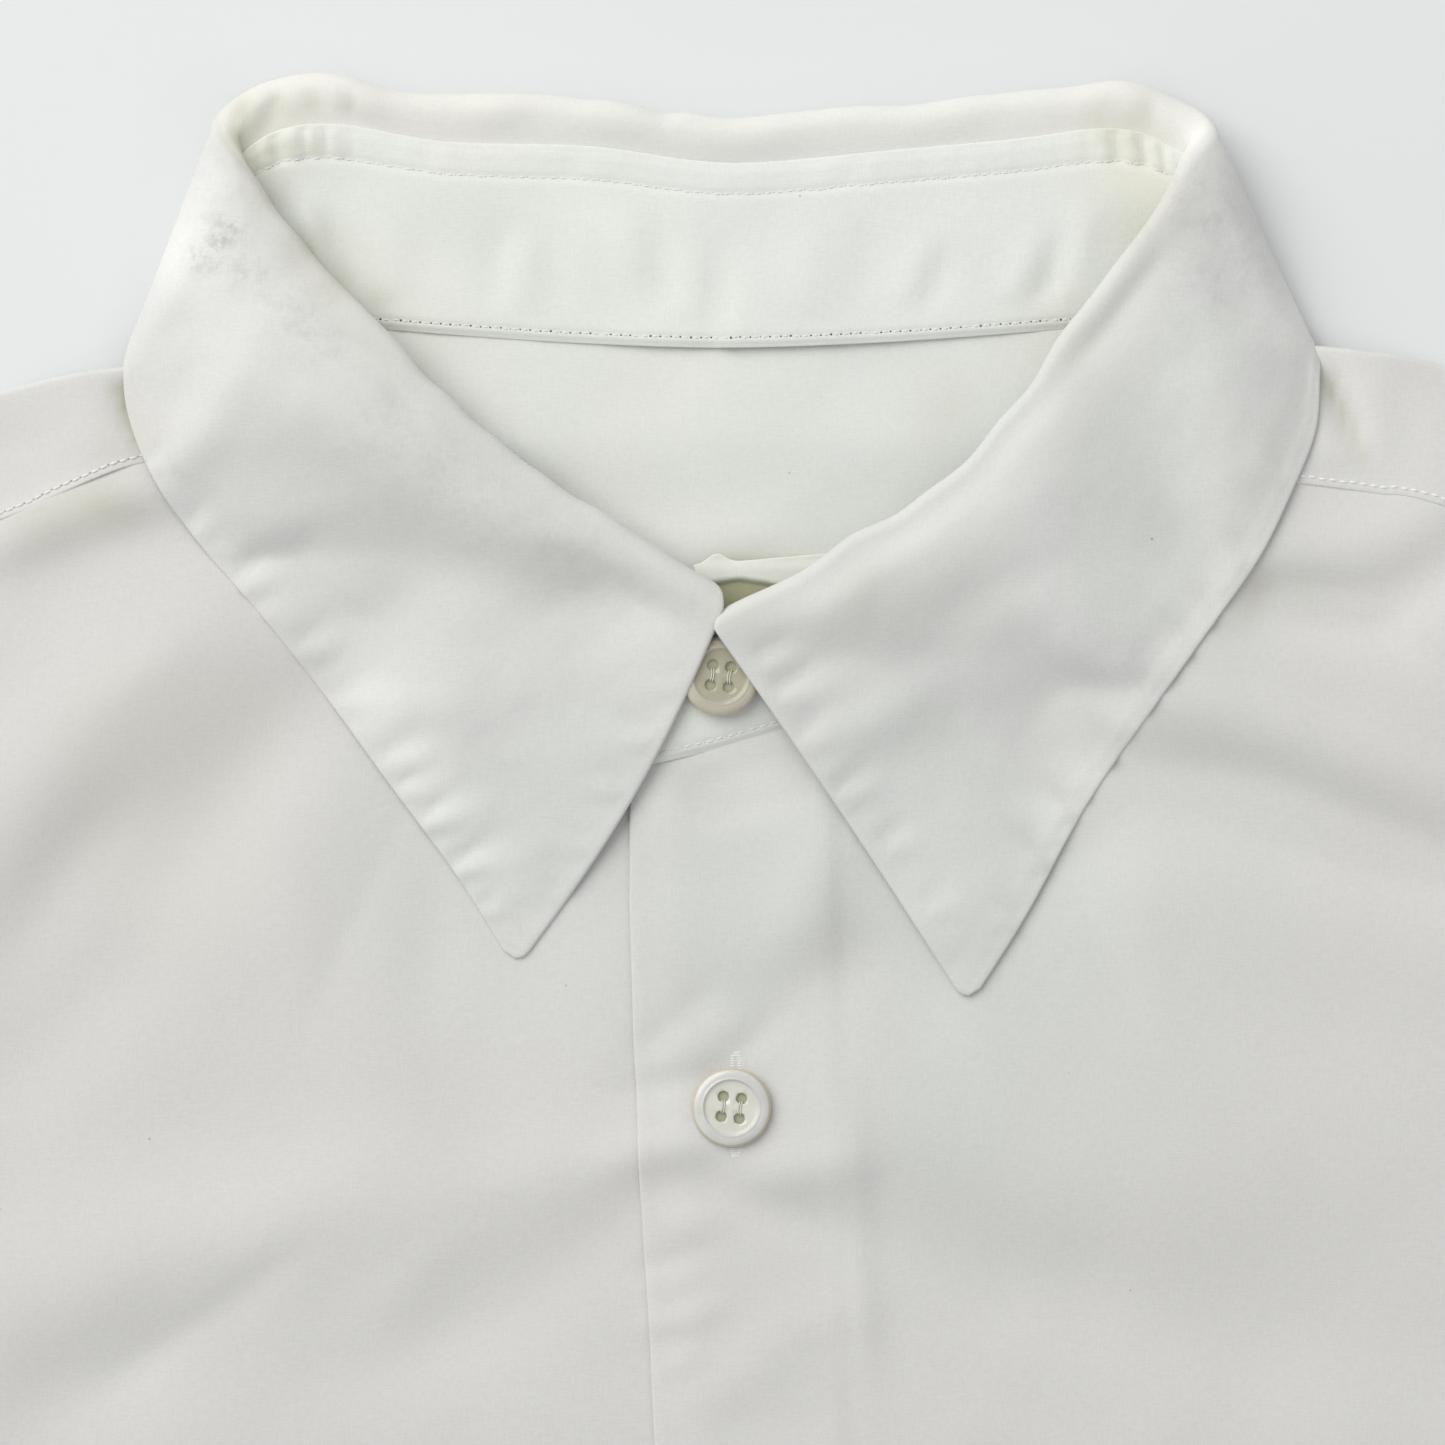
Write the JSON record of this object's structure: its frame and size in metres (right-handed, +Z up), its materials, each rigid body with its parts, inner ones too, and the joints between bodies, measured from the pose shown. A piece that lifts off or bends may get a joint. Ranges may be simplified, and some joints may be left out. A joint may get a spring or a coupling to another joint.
{
  "type": "long-sleeved shirt",
  "caption": "Long-sleeved button-front shirt with a pointed turn-down collar, buttoned up and laid flat on its back with the sleeves beside the body.",
  "frame": {"origin": "middle of the laid shirt's outline, on the table", "axes": "+X to the wearer's left sleeve, +Y up the body to the collar, +Z up from the table, out of the shirt's front"},
  "size_m": [1.2764, 0.79, 0.014],
  "materials": {
    "shirt_cloth": "matt white poplin",
    "collar_cloth": "matt white poplin over a stiff lining, lightly soiled at the fold",
    "label_cloth": "smooth off-white woven tape, blank",
    "button_pearl": "cream pearl, polished"
  },
  "bodies": {
    "root": {"back_panel": "shirt_cloth", "back_yoke": "shirt_cloth", "front_right": "shirt_cloth", "front_left": "shirt_cloth", "collar_stand": "collar_cloth", "collar_leaf": "collar_cloth", "neck_label": "label_cloth", "sleeve_right": "shirt_cloth", "sleeve_left": "shirt_cloth", "sleeve_placket_right": "shirt_cloth", "sleeve_placket_left": "shirt_cloth", "cuff_right": "shirt_cloth", "cuff_left": "shirt_cloth", "neck_button": "button_pearl", "front_button_1": "button_pearl", "front_button_2": "button_pearl", "front_button_3": "button_pearl", "front_button_4": "button_pearl", "front_button_5": "button_pearl", "front_button_6": "button_pearl", "cuff_button_right": "button_pearl", "cuff_button_left": "button_pearl", "placket_button_right": "button_pearl", "placket_button_left": "button_pearl"}
  },
  "joints": []
}
